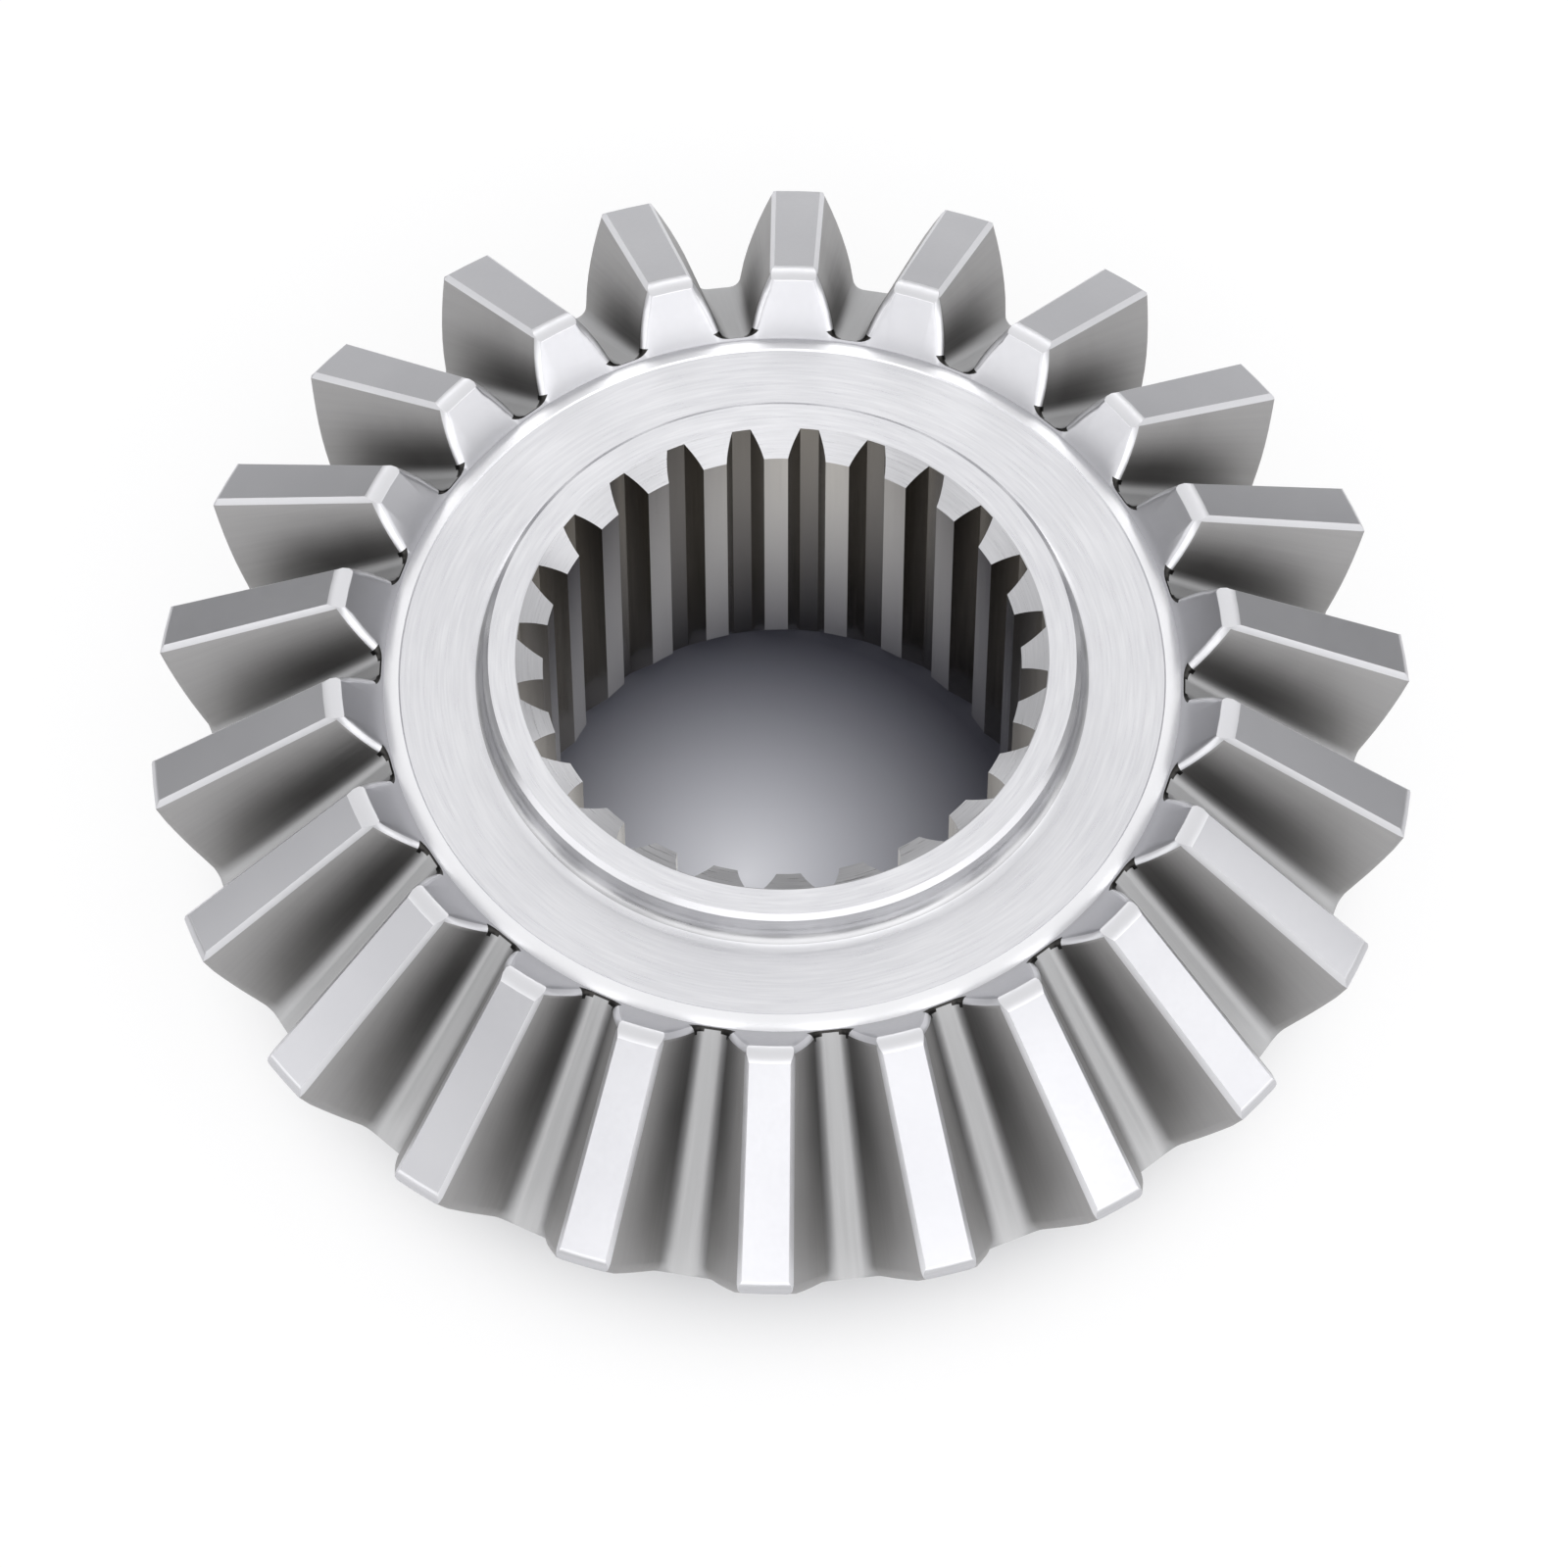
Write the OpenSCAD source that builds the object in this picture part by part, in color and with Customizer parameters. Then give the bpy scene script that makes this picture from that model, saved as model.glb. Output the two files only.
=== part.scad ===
// Differential side gear: a straight bevel gear with a splined bore, forged and machined in one piece.
// The axis of the gear is Z. The rear end face stands on Z = 0 and the teeth look up.

/* [Bevel teeth] */
// Number of bevel teeth
teeth = 22; // [18:1:26]
// Module of the teeth at the heel, the pitch diameter over the tooth count
tooth_module = 5.4; // [5:0.1:6]
// Pressure angle of the teeth
tooth_pressure = 22.5; // [20:0.5:25]
// Angle between the axis and the pitch cone
pitch_angle = 48.6; // [46:0.2:51]
// Angle between the axis and the cone of the tooth tips
tip_angle = 53.9; // [51.5:0.2:55.5]
// Length of the teeth along the pitch cone
face_w = 24; // [20:0.5:26]
// Height of the teeth above the pitch cone at the heel
addendum = 4.6; // [3.8:0.1:5]
// Depth of the slots below the pitch cone at the heel
dedendum = 6.2; // [5.6:0.1:6.8]
// Thickness of a tooth on the pitch cone as a share of the gap's and tooth's mean width
tooth_share = 1.05; // [0.95:0.01:1.1]
// Radius of the fillet at the foot of a tooth, at the heel
foot_fillet = 1.3; // [0.8:0.1:1.5]
// Width of the broken edge along both sides of a tooth's top land
land_break = 0.5; // [0.3:0.1:0.9]

/* [Tooth ends] */
// Angle between the axis and the outer, heel face of the teeth
heel_angle = 32; // [28:1:40]
// Angle between the axis and the inner, toe face of the teeth
toe_angle = 40; // [34:1:46]
// Width that the heel chamfer takes off the top land
heel_chamfer = 1.25; // [0.6:0.05:2]
// Depth of the heel chamfer down the heel face
heel_chamfer_drop = 0.9; // [0.3:0.05:1.2]
// Width that the toe chamfer takes off the top land
toe_chamfer = 1.5; // [0.6:0.1:2.2]
// Depth of the toe chamfer down the toe face
toe_chamfer_drop = 0.8; // [0.3:0.05:1.2]
// Broken edge between the flanks and the heel face
heel_break = 1; // [0.4:0.1:1.4]
// Broken edge between the flanks and the toe face
toe_break = 0.8; // [0.3:0.1:1]

/* [Front face] */
// How far the toe face runs on below the slot floors, down to the rim of the front face
rim_drop = 0.3; // [0.2:0.05:0.8]
// Width of the bevelled rim round the front face
rim_w = 1.5; // [0.8:0.1:2.2]
// Height of the bevel on the rim
rim_rise = 0.6; // [0.3:0.05:1]
// Depth of the turned front face below the rim
face_recess = 0.15; // [0.1:0.05:0.4]
// Outer diameter of the raised front hub
hub_d = 57.4; // [56:0.2:64]
// Height of the front hub above the front face
hub_h = 3.9; // [2.5:0.1:6]
// Chamfer on the hub's outer edge
hub_chamfer = 0.5; // [0.3:0.1:0.9]
// Fillet where the hub rises from the front face
hub_fillet = 1.6; // [0.8:0.1:2]

/* [Spline] */
// Number of spline teeth in the bore
spline_teeth = 24; // [20:1:25]
// Module of the splines
spline_module = 2; // [1.8:0.05:2.05]
// Pressure angle of the splines
spline_pressure = 22.5; // [20:0.5:30]
// Depth of the spline gaps outside the pitch circle
spline_gap_depth = 1.5; // [1.2:0.1:1.8]
// Height of the spline teeth inside the pitch circle
spline_tooth_height = 1; // [0.8:0.1:1.3]
// Slope of the mouth of the bore against the hub's face
mouth_angle = 33; // [25:1:45]
// Angle between the axis and the lead-in at the rear end of the bore
lead_angle = 30; // [20:1:45]
// Turn of the splines against the bevel teeth
spline_turn = 3; // [0:0.5:7.5]

/* [Rear side] */
// Diameter of the journal behind the teeth, which runs in the differential case
journal_d = 68; // [62:1:76]
// Length of the journal, from the thrust face to the rear end
journal_l = 11; // [6:0.5:16]
// Thickness of the gear from its thrust face up to the pitch circle at the heel
backing = 11.6; // [10:0.2:16]
// Chamfer on the journal's end
journal_chamfer = 1; // [0.5:0.1:2]
// Fillet between the journal and the thrust face
journal_fillet = 1.2; // [0.5:0.1:2]
// Chamfer between the thrust face and the heel face
thrust_chamfer = 1.2; // [0.5:0.1:2.5]

/* [Hidden] */
$fn = 132;
steel = [0.78, 0.78, 0.8];
// Steps in an arc of the turned outline, along a tooth flank and along a spline flank
arc_steps = 6;
flank_steps = 5;
fillet_steps = 4;
spline_steps = 3;
// How far a cutting shape runs on past what it cuts, and past the toe in the open air
past = 1;
toe_past = 2.5;
// How far the mouth and the lead-in start outside the gaps of the spline
mouth_land = 0.1;

// The pitch cone: its radius and height at the heel, its length and its apex on the axis
pitch_r = tooth_module * teeth / 2;
pitch_z = journal_l + backing;
cone_l = pitch_r / sin(pitch_angle);
apex_z = pitch_z + cone_l * cos(pitch_angle);
root_angle = pitch_angle - atan(dedendum / cone_l);

// A point of the pitch cone in the plane of the axis, l from the apex and h above the cone
function cone_point(l, h) = [
    l * sin(pitch_angle) + h * cos(pitch_angle),
    apex_z - l * cos(pitch_angle) + h * sin(pitch_angle)
];
// The unit vector that leans by an angle outwards from the axis
function lean(angle) = [sin(angle), cos(angle)];
// The point where two lines meet, each given by a point and a direction
function meet(p, u, q, v) = p + u * ((q - p)[0] * v[1] - (q - p)[1] * v[0]) / (u[0] * v[1] - u[1] * v[0]);
function arc(centre, r, from, to, steps) = [
    for (i = [0 : steps]) centre + r * [cos(from + (to - from) * i / steps), sin(from + (to - from) * i / steps)]
];

// Corners of the tooth in the plane of the axis, where the tip, root, heel and toe lines meet
heel_dir = lean(heel_angle);
toe_dir = lean(toe_angle);
tip_dir = lean(180 - tip_angle);
root_dir = lean(180 - root_angle);
heel_pitch = cone_point(cone_l, 0);
toe_pitch = cone_point(cone_l - face_w, 0);
heel_tip = meet(heel_pitch, heel_dir, cone_point(cone_l, addendum), tip_dir);
toe_tip = meet(toe_pitch, toe_dir, cone_point(cone_l, addendum), tip_dir);
toe_root = meet(toe_pitch, toe_dir, [0, apex_z], root_dir);
thrust_edge = meet(heel_pitch, heel_dir, [0, journal_l], [1, 0]);

// The front face, its rim and the hub
rim_outer = toe_root - rim_drop * toe_dir;
rim_inner = rim_outer + [-rim_w, rim_rise];
front_z = rim_inner[1] - face_recess;
hub_r = hub_d / 2;
hub_z = front_z + hub_h;
journal_r = journal_d / 2;

// The virtual spur gear that the teeth have on the heel's back cone
virtual_r = pitch_r / cos(pitch_angle);
virtual_teeth = teeth / cos(pitch_angle);
base_r = virtual_r * cos(tooth_pressure);
floor_r = virtual_r - dedendum;

function roll(base, r) = acos(min(1, base / r));
function involute(angle) = tan(angle) * 180 / PI - angle;
// Half the angle that a gap between two teeth spans at a radius of the virtual gear
function gap_angle(r) = 180 / virtual_teeth * (1 - tooth_share / 2)
    - involute(tooth_pressure) + involute(roll(base_r, r));
// A point of the section through a gap: across it, and above the pitch cone
function gap_point(r, angle) = [r * sin(angle), r * cos(angle) - virtual_r];

// The foot of the flank, and the fillet that joins it to the gap's floor
foot = gap_point(floor_r, gap_angle(floor_r));
foot_next = gap_point(floor_r + foot_fillet, gap_angle(floor_r + foot_fillet));
foot_slope = atan((foot_next - foot)[0] / (foot_next - foot)[1]);
fillet_centre = foot + foot_fillet * [-(1 - sin(foot_slope)) / cos(foot_slope), 1];
flank_start_r = floor_r + foot_fillet;

// The right half of the gap's section at the heel's scale, from its floor to above the tips.
// The tips stand tip_h above the pitch cone and lose a broken edge.
function half_gap(tip_h, edge) =
    let (flank_end_r = virtual_r + tip_h - edge)
    let (edge_foot = gap_point(flank_end_r, gap_angle(flank_end_r)))
    concat(
        arc(fillet_centre, foot_fillet, -90, -foot_slope, fillet_steps),
        [for (i = [1 : flank_steps])
            let (r = flank_start_r + (flank_end_r - flank_start_r) * i / flank_steps)
            gap_point(r, gap_angle(r))],
        [edge_foot + (edge + past) * [1, 1], edge_foot + [edge + past, edge + 2 * past]]
    );
// The same half with its flanks moved out by w, fading to nothing at the gap's floor
function flared(half, w) = [
    for (i = [0 : len(half) - 1])
        let (along = half[min(len(half) - 1, i + 1)] - half[max(0, i - 1)])
        let (share = min(1, (half[i][1] + dedendum) / foot_fillet))
        half[i] + w * share * [along[1], -along[0]] / norm(along)
];
function mirrored(points) = [for (i = [len(points) - 1 : -1 : 0]) [-points[i][0], points[i][1]]];

// The whole section that meets the pitch cone at l from the apex and leans outwards by an angle
// from the axis, flared by w: points in space, drawn for the gap that lies along +X
function gap_ring(l, angle, w) =
    let (back = 1 / tan(angle + pitch_angle), rise = tan(tip_angle - pitch_angle))
    let (tip_rise = (addendum - (cone_l - l) * rise) / (1 + back * rise))
    let (tip_scale = (l - tip_rise * back) / cone_l)
    let (half = flared(half_gap(tip_rise / tip_scale, land_break / tip_scale), w / tip_scale))
    [for (p = concat(half, mirrored(half)))
        let (at = l / (1 + p[1] * back / cone_l))
        let (q = cone_point(at, p[1] * at / cone_l)) [q[0], p[0] * at / cone_l, q[1]]];

// Half the angle that a gap between two spline teeth spans at a radius
spline_r = spline_module * spline_teeth / 2;
spline_major_r = spline_r + spline_gap_depth;
spline_minor_r = spline_r - spline_tooth_height;
spline_base_r = spline_r * cos(spline_pressure);
function spline_angle(r) = 90 / spline_teeth
    + involute(spline_pressure) - involute(roll(spline_base_r, r));

// The turned outline of the gear, from the rear end outwards and round to the hub
outline = concat(
    [[0, 0], [journal_r - journal_chamfer, 0], [journal_r, journal_chamfer]],
    arc([journal_r + journal_fillet, journal_l - journal_fillet], journal_fillet, 180, 90, arc_steps),
    [
        thrust_edge - [thrust_chamfer, 0],
        thrust_edge + thrust_chamfer * heel_dir,
        heel_tip - heel_chamfer_drop * heel_dir,
        heel_tip - heel_chamfer * tip_dir,
        toe_tip + toe_chamfer * tip_dir,
        toe_tip - toe_chamfer_drop * toe_dir,
        rim_outer,
        rim_inner,
        [rim_inner[0] - face_recess, front_z]
    ],
    arc([hub_r + hub_fillet, front_z + hub_fillet], hub_fillet, 270, 180, arc_steps),
    [[hub_r, hub_z - hub_chamfer], [hub_r - hub_chamfer, hub_z], [0, hub_z]]
);

// The forged and turned blank, before its teeth and splines are cut
module blank() {
    rotate_extrude() polygon(outline);
}

// One gap between two bevel teeth, tapering towards the apex of the pitch cone and flared at both ends
module tooth_gap() {
    toe_l = cone_l - face_w;
    rings = [
        gap_ring(cone_l + past, heel_angle, heel_break + past),
        gap_ring(cone_l - heel_break, heel_angle, 0),
        gap_ring(toe_l + toe_break, toe_angle, 0),
        gap_ring(toe_l - toe_past, toe_angle, toe_break + toe_past)
    ];
    n = len(rings[0]);
    last = (len(rings) - 1) * n;
    polyhedron(
        points = [for (ring = rings) each ring],
        faces = concat(
            [[for (i = [n - 1 : -1 : 0]) i]],
            [[for (i = [0 : n - 1]) last + i]],
            [for (k = [0 : n : last - n], i = [0 : n - 1])
                [k + i, k + (i + 1) % n, k + n + (i + 1) % n, k + n + i]]
        )
    );
}

module tooth_gaps() {
    for (i = [0 : teeth - 1]) rotate([0, 0, i * 360 / teeth]) tooth_gap();
}

// One gap between two spline teeth, reaching inside the bore
module spline_gap() {
    step = (spline_major_r - spline_minor_r) / spline_steps;
    flank = [
        for (i = [0 : spline_steps])
            let (r = spline_minor_r + i * step, a = spline_angle(r)) r * [cos(a), sin(a)]
    ];
    mouth = [[spline_minor_r - past, flank[0][1]]];
    half = concat(mouth, flank);
    other = [for (i = [len(half) - 1 : -1 : 0]) [half[i][0], -half[i][1]]];
    linear_extrude(hub_z + 2 * past) polygon(concat(half, other));
}

// The splined bore, with its dished mouth and the lead-in at its rear end
module splined_bore() {
    mouth_r = spline_major_r + mouth_land;
    mouth_drop = tan(mouth_angle);
    lead_run = 1 / tan(lead_angle);
    translate([0, 0, -past]) {
        cylinder(r = spline_minor_r, h = hub_z + 2 * past);
        for (i = [0 : spline_teeth - 1])
            rotate([0, 0, spline_turn + (i + 0.5) * 360 / spline_teeth]) spline_gap();
    }
    translate([0, 0, hub_z - mouth_r * mouth_drop])
        cylinder(r1 = 0, r2 = mouth_r + past, h = (mouth_r + past) * mouth_drop);
    translate([0, 0, -past])
        cylinder(r1 = mouth_r + past / lead_run, r2 = 0, h = mouth_r * lead_run + past);
}

module side_gear() {
    color(steel) difference() {
        blank();
        splined_bore();
        tooth_gaps();
    }
}

side_gear();
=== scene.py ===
"""Differential side gear: a straight bevel gear with a raised hub and a splined bore, forged and machined.

Lengths are millimetres, as on the drawing, and become metres where they reach a mesh or a material. Only the
lamps, the floor's size and the camera's clipping are given in metres.
"""
from math import acos, atan, atan2, cos, hypot, pi, radians, sin, tan

import bmesh
import bpy
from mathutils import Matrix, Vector


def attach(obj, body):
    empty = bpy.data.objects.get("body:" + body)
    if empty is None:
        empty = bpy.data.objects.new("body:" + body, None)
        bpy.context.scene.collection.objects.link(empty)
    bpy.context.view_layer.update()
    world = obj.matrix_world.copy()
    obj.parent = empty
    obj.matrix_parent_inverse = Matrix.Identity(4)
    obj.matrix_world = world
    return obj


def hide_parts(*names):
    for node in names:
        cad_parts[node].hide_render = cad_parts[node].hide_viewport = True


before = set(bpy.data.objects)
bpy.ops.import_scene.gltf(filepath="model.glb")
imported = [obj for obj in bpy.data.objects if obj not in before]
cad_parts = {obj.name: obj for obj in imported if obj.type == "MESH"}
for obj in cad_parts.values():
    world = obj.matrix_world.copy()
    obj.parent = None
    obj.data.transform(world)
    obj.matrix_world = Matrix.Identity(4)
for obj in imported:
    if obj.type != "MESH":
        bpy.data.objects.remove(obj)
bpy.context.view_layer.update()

MM = 0.001

# Bevel teeth, with the solid's sizes and a slightly larger fillet at the foot. TOOTH_SHARE is a tooth's
# thickness against half the pitch.
TEETH = 22
MODULE = 5.4
PITCH_R = MODULE * TEETH / 2
PITCH_ANGLE = radians(48.6)
TIP_ANGLE = radians(53.9)
HEEL_ANGLE = radians(32)
TOE_ANGLE = radians(40)
PRESSURE = radians(22.5)
FACE_W = 24
ADDENDUM = 4.6
DEDENDUM = 6.2
TOOTH_SHARE = 1.05
FOOT_FILLET = 1.5
LAND_BREAK = 0.5

# Ends of the teeth. Each chamfer runs back along the land and drops down the end face. The softness crowns
# it, from 0 for flat to 1 for round, and it drops further than the solid's, so that the crown stays inside
# the solid's box. HEEL_FOOT is how far the ground end of the heel reaches in below the gaps.
HEEL_CHAMFER, HEEL_CHAMFER_DROP = 1.25, 1.08
TOE_CHAMFER, TOE_CHAMFER_DROP = 1.5, 1
CHAMFER_SOFTNESS = 0.5
HEEL_BREAK, TOE_BREAK = 1.2, 0.9
HEEL_FOOT = 1.4

# Front face and hub. The rim rises in shares of its width, so that it comes out round.
RIM_DROP, RIM_W, RIM_RISE, FACE_RECESS = 0.3, 1.5, 0.6, 0.15
RIM_ROUNDING = (0, 0.15, 0.35, 0.6, 1)
HUB_R, HUB_H, HUB_CHAMFER, HUB_FILLET = 28.7, 3.9, 0.5, 1.6

# Rear side. The pitch circle at the heel lies above the thrust face by PITCH_RISE.
JOURNAL_R, JOURNAL_L, JOURNAL_CHAMFER, JOURNAL_FILLET = 34, 11, 1, 1.2
THRUST_CHAMFER = 1.2
PITCH_RISE = 11.6
PITCH_Z = JOURNAL_L + PITCH_RISE

# Splines, and the dished mouth and the lead-in at the ends of the bore
SPLINE_TEETH = 24
SPLINE_MODULE = 2
SPLINE_R = SPLINE_MODULE * SPLINE_TEETH / 2
SPLINE_ADDENDUM, SPLINE_DEDENDUM = 1, 1.5
SPLINE_MAJOR_R, SPLINE_MINOR_R = SPLINE_R + SPLINE_DEDENDUM, SPLINE_R - SPLINE_ADDENDUM
SPLINE_TURN = radians(3)
MOUTH_LAND = 0.1
MOUTH_R = SPLINE_MAJOR_R + MOUTH_LAND
MOUTH_ANGLE, LEAD_ANGLE = radians(33), radians(30)

# Steps of the mesh: round an edge and a fillet, along a flank, and across a spline's gap, flank and tip
EDGE_STEPS = 4
ARC_STEPS = 6
FLANK_STEPS = 6
SPLINE_GAP_STEPS, SPLINE_FLANK_STEPS, SPLINE_TIP_STEPS = 2, 5, 4
CUT_STEPS = 5
SHARP_ANGLE = radians(28)
# What counts as no difference: between two distances from a cone, and between two points, in metres
NO_CHANGE, SAME_POINT = 1e-12, 1e-7

# Turned steel is bright, and its circular marks fan the highlights out. The hub's wall is a deeper grey, a
# painted shade, and the turned chamfers and the mouth lie between the two, a lighter painted shade. Each pair
# of colours is a deeper and a paler tone. The fan is turned by a quarter, across the marks.
TURNED_COLOURS = ("#D6D6DA", "#E5E5E8")
WALL_PAINTED_SHADE_COLOURS = ("#A6A6A8", "#B8B8BA")
CHAMFER_PAINTED_SHADE_COLOURS = ("#B9B9BC", "#C7C7CA")
TURNED_ROUGHNESS, TURNED_RELIEF = (0.26, 0.36), 0.008
FAN, FAN_TURN = 0.6, 0.25

# Ground steel is an even satin grey. Broken edges are a pale line round each tooth, a painted highlight; the
# tumbled rim is the palest of all, a painted highlight too; and the corners of the gaps are nearly black, a
# painted shade.
GROUND_COLOURS = ("#AAAAAE", "#B8B8BB")
BREAK_PAINTED_HIGHLIGHT_COLOURS = ("#CECED1", "#DADADD")
RIM_PAINTED_HIGHLIGHT_COLOURS = ("#E8E8EB", "#F0F0F2")
CORNER_PAINTED_SHADE_COLOURS = ("#2E2D2C", "#3A3938")
GROUND_ROUGHNESS, GROUND_RELIEF = (0.3, 0.34), 0.0003
TUMBLED_ROUGHNESS = (0.42, 0.48)

# Planed steel is matt, and a painted shade deepens it towards the foot of each flank. Its tones are the
# root's, paler as a painted highlight, the foot's at the toe and at the heel, which are the painted shade,
# and the top's, where the shade has faded. They change over these angles above the root cone, and the foot's
# from this far off the apex to the heel.
PLANED_COLOURS = ("#B0B0B1", "#676665", "#9C9B9A", "#A3A2A2")
ROOT_FROM, ROOT_TO = radians(0), radians(1.15)
PAINTED_SHADE_FADE_FROM, PAINTED_SHADE_FADE_TO = radians(1.5), radians(6)
HEEL_LIFT_FROM = 62
PLANED_ROUGHNESS, PLANED_RELIEF = (0.55, 0.62), 0.006

# Broached steel is smooth and warm in tone, and the reamed tips of the splines are paler, a painted
# highlight. Each has the tone at the rear end of the bore, and then the one at its mouth: paler at the rear
# end, as painted light.
BROACHED_COLOURS = ("#B9B5AE", "#8A857D")
REAMED_PAINTED_HIGHLIGHT_COLOURS = ("#F8F6F2", "#C8C4BD")
BROACHED_ROUGHNESS, BROACHED_RELIEF = (0.16, 0.26), 0.003

# Marks of the tools, across and along. A lathe's feed is about 0.15, and the marks of a planer, a broach and
# a grinding wheel are finer still: all are drawn coarser, to show. For turning, a larger number of streaks
# makes them shorter.
TURN_MARK, TURN_STREAKS = 0.3, 5
PLANE_MARK, PLANE_STREAK = 0.5, 20
BROACH_MARK, BROACH_STREAK = 0.4, 15
GRAIN = 0.5
# Turning marks go by the radius and this much of the height, so that walls and chamfers have them too
HEIGHT_SHARE = 1.6
# Soft patches of tone, as forged steel has, and how far those of the flanks shift where the painted shade
# fades
BLOTCH = 14
CLOUD, CLOUD_SHARE = 9, 0.5
# Noise: how streaks and patches are drawn, the part of its range that is used, and the marks' share in a tone
STREAKS = {"Scale": 1, "Detail": 3, "Roughness": 0.6}
SOFT_DETAIL = 2
MARK_RANGE, TONE_RANGE = (0.3, 0.7), (0.35, 0.65)
MARKS_IN_TONE = 0.7

# Rows of the mesh with a finish of their own: how far the painted shade in the gaps' corners reaches into a
# gap and how many columns raise its arch by a row, the flank's broken edge at the toe, and the hub's fillet
# where it looks like the face
CORNER_SHADE_ROWS, CORNER_SHADE_ARCH = 2, 3
TOE_BREAK_ROWS = 3
FILLET_ON_FACE = 2

# Camera: its turn and tilt, what it aims at, and the width that it frames there
CAMERA_TURN, CAMERA_TILT = radians(-1.5), radians(60.91)
CAMERA_TARGET = (0.35, -6.8, 26)
CAMERA_DISTANCE = 799.5
FRAME_W = 151.8
SENSOR_W = 36
CLIP_START, CLIP_END = 0.01, 20

# Lamps, in metres: how far off they stand, and each panel's direction, width and height, and brightness
LAMP_DISTANCE = 1
LAMPS = (
    ("panel_front", (0.1, -0.85, 0.55), (1.4, 0.8), 1.4),
    ("panel_right", (0.88, -0.35, 0.38), (0.9, 0.7), 1.35),
    ("panel_left", (-0.85, -0.45, 0.28), (0.9, 0.5), 1.5),
    ("panel_back", (0, 0.9, 0.42), (1.4, 0.4), 1.5),
)
# Sky: its brightness at the horizon and above, and the sine of the height at which it is full
HORIZON, SKY = 0.15, 1.25
SKY_HEIGHT = 0.5

# Floor: half its side in metres, its paint, and how far it shows white by itself. The steel sees it turn
# white between the gear's edge and a radius further out.
FLOOR_HALF = 2
FLOOR_WHITE = "#F4F4F5"
FLOOR_ROUGHNESS = 0.5
FLOOR_LIFT = 0.8
GEAR_R = 61.5
MIRROR_WHITE_R = 200
# The floor inside the bore has a painted shade and painted light: it is palest at one spot, which glows by
# itself to the camera and in steel, and darkens away from it
BORE_PAINTED_SHADE = ("#E4E7F8", "#5C5D68")
BORE_PAINTED_LIGHT_SPOT, BORE_PAINTED_SHADE_REACH = (-3.5, -3, 0), 28
BORE_PAINTED_GLOW = 0.43
BORE_PAINTED_GLOW_FALLOFF = 2

# Sockets of a Mix node, by number, because its colours and its values have the same names
COLOUR_A, COLOUR_B, COLOUR_OUT = 6, 7, 2
VALUE_A, VALUE_B = 2, 3

CONE_L = PITCH_R / sin(PITCH_ANGLE)
APEX_Z = PITCH_Z + CONE_L * cos(PITCH_ANGLE)
ROOT_ANGLE = PITCH_ANGLE - atan(DEDENDUM / CONE_L)
VIRTUAL_R = PITCH_R / cos(PITCH_ANGLE)
VIRTUAL_TEETH = TEETH / cos(PITCH_ANGLE)
BASE_R = VIRTUAL_R * cos(PRESSURE)
FLOOR_R = VIRTUAL_R - DEDENDUM


# The turned outline, as points of radius and height

def cone_point(slant, above):
    """A point by its distance from the apex along the pitch cone and its height above the cone."""
    r = slant * sin(PITCH_ANGLE) + above * cos(PITCH_ANGLE)
    z = APEX_Z - slant * cos(PITCH_ANGLE) + above * sin(PITCH_ANGLE)
    return Vector((r, z))


def lean(angle):
    """The direction that leans outwards from the axis by an angle."""
    return Vector((sin(angle), cos(angle)))


def meet(p, u, q, v):
    """The point where two lines meet, each a point and a direction."""
    return p + u * ((q - p).cross(v) / u.cross(v))


def arc(centre, r, start, end):
    """Points along an arc."""
    turns = [start + (end - start) * i / ARC_STEPS for i in range(ARC_STEPS + 1)]
    return [centre + r * Vector((cos(a), sin(a))) for a in turns]


heel_dir, toe_dir = lean(HEEL_ANGLE), lean(TOE_ANGLE)
tip_dir, root_dir = lean(pi - TIP_ANGLE), lean(pi - ROOT_ANGLE)
apex = Vector((0, APEX_Z))
heel_pitch, toe_pitch = cone_point(CONE_L, 0), cone_point(CONE_L - FACE_W, 0)
heel_tip = meet(heel_pitch, heel_dir, cone_point(CONE_L, ADDENDUM), tip_dir)
toe_tip = meet(toe_pitch, toe_dir, cone_point(CONE_L, ADDENDUM), tip_dir)
heel_root = meet(heel_pitch, heel_dir, apex, root_dir)
toe_root = meet(toe_pitch, toe_dir, apex, root_dir)
thrust_edge = meet(heel_pitch, heel_dir, Vector((0, JOURNAL_L)), Vector((1, 0)))
rim_outer = toe_root - RIM_DROP * toe_dir
rim_inner = rim_outer + Vector((-RIM_W, RIM_RISE))
FRONT_Z = rim_inner.y - FACE_RECESS
HUB_Z = FRONT_Z + HUB_H

# The land's chamfers: the lower edge on the end face, the corner that goes, and the upper edge on the land
heel_chamfer = (heel_tip - HEEL_CHAMFER_DROP * heel_dir, heel_tip, heel_tip - HEEL_CHAMFER * tip_dir)
toe_chamfer = (toe_tip - TOE_CHAMFER_DROP * toe_dir, toe_tip, toe_tip + TOE_CHAMFER * tip_dir)


def soft_chamfer(chamfer, share):
    """A point on a crowned chamfer, from its upper edge to its lower one."""
    lower, corner, upper = chamfer
    flat = upper.lerp(lower, share)
    rounded = upper.lerp(corner, share).lerp(corner.lerp(lower, share), share)
    return flat.lerp(rounded, CHAMFER_SOFTNESS)


# Gaps between the teeth

def involute(angle):
    """The polar angle of an involute where its pressure angle has a value."""
    return tan(angle) - angle


def roll(base, r):
    """The pressure angle of an involute at a radius."""
    return acos(min(1, base / r))


def gap_angle(r):
    """Half the angle that a gap between two teeth spans at a radius of the virtual spur gear."""
    return pi / VIRTUAL_TEETH * (1 - TOOTH_SHARE / 2) - involute(PRESSURE) + involute(roll(BASE_R, r))


def gap_point(r):
    """A point on the right flank of a gap: across it, and above the pitch cone."""
    return Vector((r * sin(gap_angle(r)), r * cos(gap_angle(r)) - VIRTUAL_R))


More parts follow.
